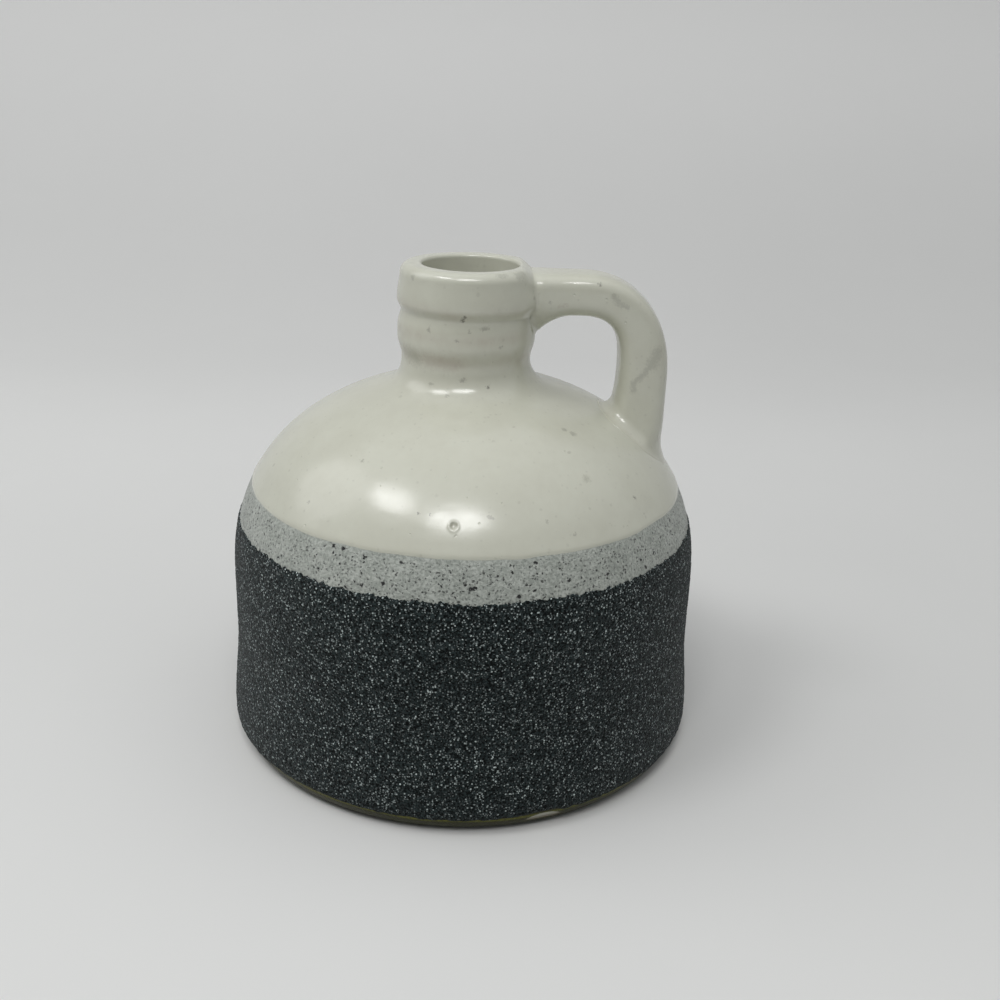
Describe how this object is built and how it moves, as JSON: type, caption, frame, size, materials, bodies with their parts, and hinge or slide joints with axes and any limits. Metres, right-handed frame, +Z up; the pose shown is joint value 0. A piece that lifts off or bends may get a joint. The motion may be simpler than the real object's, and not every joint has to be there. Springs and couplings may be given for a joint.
{
  "type": "ceramic jug vase",
  "caption": "Squat round stoneware jug vase with a ringed neck, rounded rim and loop handle, cream glazed above a speckled band and a dark sandy wall.",
  "frame": {"origin": "centre of the foot, on the plane the vase rests on", "axes": "+Z up along the mouth's axis, +X from the axis towards the handle"},
  "size_m": [0.144, 0.144, 0.1432],
  "materials": {
    "fired_clay": "bare fired stoneware, matte, toasted at the foot",
    "cream_glaze": "glossy cream glaze with fine iron specks and pinholes",
    "liner_glaze": "glossy cream liner glaze",
    "speckled_slip": "matte grey slip, pitted with dark specks",
    "sanded_slip": "matte charcoal slip full of sand, with bright grains"
  },
  "bodies": {
    "root": {"vessel_body": "fired_clay", "neck_collar": "fired_clay", "loop_handle": "fired_clay", "liner_glaze": "liner_glaze", "cream_glaze": "cream_glaze", "handle_glaze": "cream_glaze", "speckled_band": "speckled_slip", "grit_coat": "sanded_slip"}
  },
  "joints": []
}
